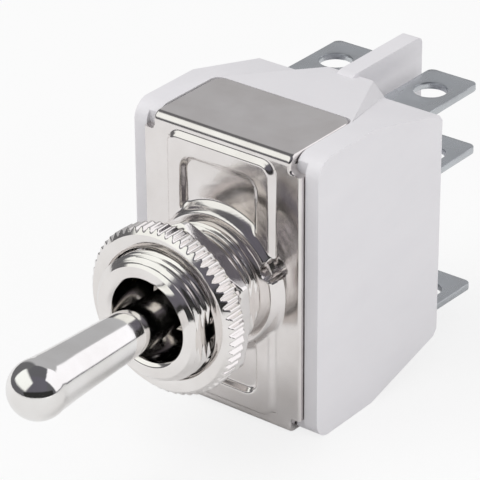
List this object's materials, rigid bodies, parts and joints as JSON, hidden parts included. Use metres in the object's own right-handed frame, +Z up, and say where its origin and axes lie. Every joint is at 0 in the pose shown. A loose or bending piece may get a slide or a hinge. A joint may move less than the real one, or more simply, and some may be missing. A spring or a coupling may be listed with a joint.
{
  "type": "panel toggle switch",
  "caption": "Two-pole centre-off panel toggle switch: pale case, pressed metal frame, threaded bushing with hex and knurled ring nuts, bat lever and flat solder lugs.",
  "frame": {"origin": "where the axis of the threaded bushing meets the front plane of the metal frame", "axes": "-Y along the bushing, out of the panel towards the lever's tip; +Y towards the lugs; +Z up along the long side of the body; +X to the right seen from the front"},
  "size_m": [0.0206, 0.0573, 0.0282],
  "materials": {
    "case_plastic": "satin",
    "frame_nickel": "polished",
    "bushing_nickel": "polished",
    "nut_nickel": "polished",
    "lever_chrome": "polished",
    "pin_steel": "satin",
    "retainer_brass": "satin",
    "cover_plastic": "matte",
    "rocker_plastic": "satin",
    "blade_copper": "satin",
    "contact_silver": "polished",
    "lug_silver": "satin"
  },
  "bodies": {
    "base": {"case": "case_plastic", "frame": "frame_nickel", "bushing": "bushing_nickel", "retainer": "retainer_brass", "inner_cover": "cover_plastic", "terminal_a_up": "lug_silver", "terminal_a_common": "lug_silver", "terminal_a_down": "lug_silver", "terminal_b_up": "lug_silver", "terminal_b_common": "lug_silver", "terminal_b_down": "lug_silver", "fixed_a_up": "contact_silver", "fixed_a_down": "contact_silver", "fixed_b_up": "contact_silver", "fixed_b_down": "contact_silver"},
    "lever": {"lever": "lever_chrome", "pivot_pin": "pin_steel", "plunger_spring": "pin_steel"},
    "plunger": {"plunger": "retainer_brass"},
    "rocker": {"rocker": "rocker_plastic", "blade_a": "blade_copper", "blade_b": "blade_copper", "button_a_up": "contact_silver", "button_a_down": "contact_silver", "button_b_up": "contact_silver", "button_b_down": "contact_silver"},
    "hex_nut": {"hex_nut": "nut_nickel"},
    "ring_nut": {"ring_nut": "nut_nickel"}
  },
  "joints": [
    {"name": "lever_throw", "type": "hinge", "parent": "base", "child": "lever", "pos_m": [0, -0.004, 0], "axis": [1, 0, 0], "range_deg": [-12, 12]},
    {"name": "rocker_tilt", "type": "hinge", "parent": "base", "child": "rocker", "pos_m": [0, 0.0126, 0], "axis": [1, 0, 0], "range_deg": [-7, 7]},
    {"name": "plunger_slide", "type": "slide", "parent": "lever", "child": "plunger", "axis": [0, 1, 0], "range_m": [-0.0006, 0], "stiffness_N_per_m": 150, "springref_m": 0.002, "deforming": ["plunger_spring"]},
    {"name": "hex_nut_turn", "type": "hinge", "parent": "base", "child": "hex_nut", "pos_m": [0, -0.0058, 0], "axis": [0, -1, 0], "continuous": true},
    {"name": "ring_nut_turn", "type": "hinge", "parent": "base", "child": "ring_nut", "pos_m": [0, -0.0079, 0], "axis": [0, -1, 0], "continuous": true}
  ],
  "couplings": [
    {"joint": "rocker_tilt", "follows": "lever_throw", "ratio": -0.58}
  ]
}
